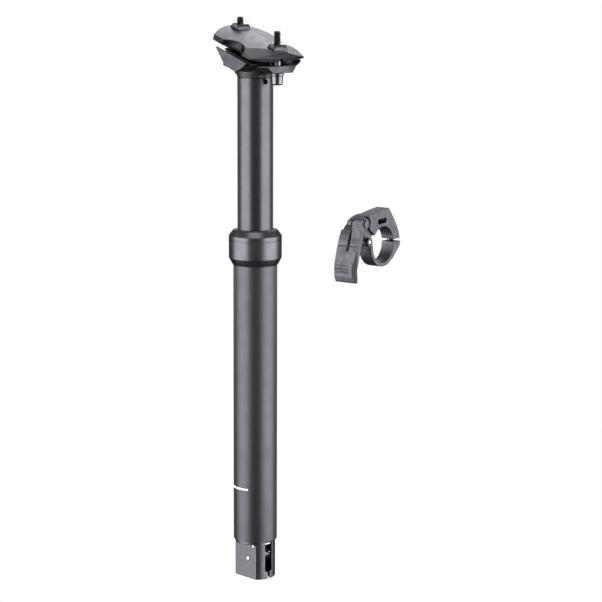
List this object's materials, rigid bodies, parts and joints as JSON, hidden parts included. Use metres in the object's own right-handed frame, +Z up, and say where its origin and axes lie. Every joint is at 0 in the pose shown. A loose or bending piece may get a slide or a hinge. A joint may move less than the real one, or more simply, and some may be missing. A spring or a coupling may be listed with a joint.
{
  "type": "dropper seatpost",
  "caption": "Telescoping bicycle seatpost with a cable-worked foot actuator, tilting two-bolt saddle rail clamp and a separate handlebar remote lever.",
  "frame": {"origin": "on the post's axis, at the lower edge of the seal collar, where the outer tube leaves the frame's seat clamp", "axes": "+Z up the post, +X forwards on the bicycle, +Y to the rider's left"},
  "size_m": [0.2114, 0.1228, 0.3974],
  "materials": {
    "black_anodised": "satin black anodised",
    "black_forged": "blasted, black anodised",
    "bare_alloy": "turned",
    "steel": "zinc plated",
    "chrome": "hard chromed",
    "brass": "machined",
    "rubber": "moulded",
    "foam": "open foam, oiled",
    "guide_plastic": "acetal"
  },
  "bodies": {
    "outer": {"outer_tube": "black_anodised", "seal_collar": "black_anodised", "wiper_seal": "rubber", "foam_ring": "foam", "upper_bush": "guide_plastic", "foot": "black_anodised", "bump_ring": "rubber", "pivot_pin": "steel", "cross_pin": "steel", "guide_pin": "steel", "cartridge_rod": "chrome", "rod_jam_nut": "steel", "rod_piston": "bare_alloy", "remote_bracket": "black_forged", "remote_band": "black_forged", "band_hinge_pin": "steel", "band_bolt": "steel", "lever_pivot_bolt": "steel"},
    "inner": {"inner_tube": "black_anodised", "post_head": "black_forged", "lower_bush": "guide_plastic", "guide_keys": "brass", "cartridge_cylinder": "bare_alloy", "cartridge_gland": "bare_alloy", "floating_piston": "bare_alloy", "cartridge_cap": "bare_alloy", "retaining_ring": "bare_alloy"},
    "rail_clamp": {"lower_cradle": "black_forged", "upper_clamp": "black_forged"},
    "front_nut_body": {"front_nut": "steel"},
    "rear_nut_body": {"rear_nut": "steel"},
    "front_bolt_body": {"front_bolt": "steel", "front_washer": "steel"},
    "rear_bolt_body": {"rear_bolt": "steel", "rear_washer": "steel"},
    "arm": {"actuator_arm": "steel", "cable_barrel": "steel"},
    "valve": {"valve_pin": "steel", "valve_button": "steel"},
    "lever": {"remote_lever": "black_forged", "cable_anchor": "steel"}
  },
  "joints": [
    {"name": "post_travel", "type": "slide", "parent": "outer", "child": "inner", "axis": [0, 0, 1], "range_m": [-0.1, 0], "stiffness_N_per_m": 150, "springref_m": 0.5},
    {"name": "saddle_tilt", "type": "hinge", "parent": "inner", "child": "rail_clamp", "pos_m": [0.00334, 0, 0.15683], "axis": [0, 1, 0], "range_deg": [-8, 4]},
    {"name": "front_nut_turn", "type": "hinge", "parent": "rail_clamp", "child": "front_nut_body", "pos_m": [0.02191, 0, 0.15025], "axis": [0, 1, 0], "range_deg": [-8.5, 8.5]},
    {"name": "rear_nut_turn", "type": "hinge", "parent": "rail_clamp", "child": "rear_nut_body", "pos_m": [-0.01523, 0, 0.1634], "axis": [0, 1, 0], "range_deg": [-8.5, 8.5]},
    {"name": "front_bolt_run", "type": "slide", "parent": "front_nut_body", "child": "front_bolt_body", "axis": [0, 0, 1], "range_m": [-0.003, 0.003], "stiffness_N_per_m": 2, "springref_m": 0.0363},
    {"name": "rear_bolt_run", "type": "slide", "parent": "rear_nut_body", "child": "rear_bolt_body", "axis": [0, 0, 1], "range_m": [-0.003, 0.003], "stiffness_N_per_m": 2, "springref_m": 0.0373},
    {"name": "arm_swing", "type": "hinge", "parent": "outer", "child": "arm", "pos_m": [0.0025, 0, -0.2114], "axis": [0, 1, 0], "range_deg": [0, 20], "stiffness_Nm_per_rad": 0.02, "springref_deg": -17.19},
    {"name": "valve_lift", "type": "slide", "parent": "outer", "child": "valve", "axis": [0, 0, 1], "range_m": [0, 0.0014], "stiffness_N_per_m": 0.4, "springref_m": 0.143},
    {"name": "lever_swing", "type": "hinge", "parent": "outer", "child": "lever", "pos_m": [0.18651, -0.08267, 0.0537], "axis": [0.9877, 0.1564, 0], "range_deg": [0, 16], "stiffness_Nm_per_rad": 0.05, "springref_deg": -20.05}
  ],
  "couplings": [
    {"joint": "front_nut_turn", "follows": "saddle_tilt", "ratio": -1},
    {"joint": "rear_nut_turn", "follows": "saddle_tilt", "ratio": -1},
    {"joint": "front_bolt_run", "follows": "saddle_tilt", "m_per_rad": 0.01857},
    {"joint": "rear_bolt_run", "follows": "saddle_tilt", "m_per_rad": -0.01857},
    {"joint": "valve_lift", "follows": "arm_swing", "m_per_rad": 0.0037}
  ]
}
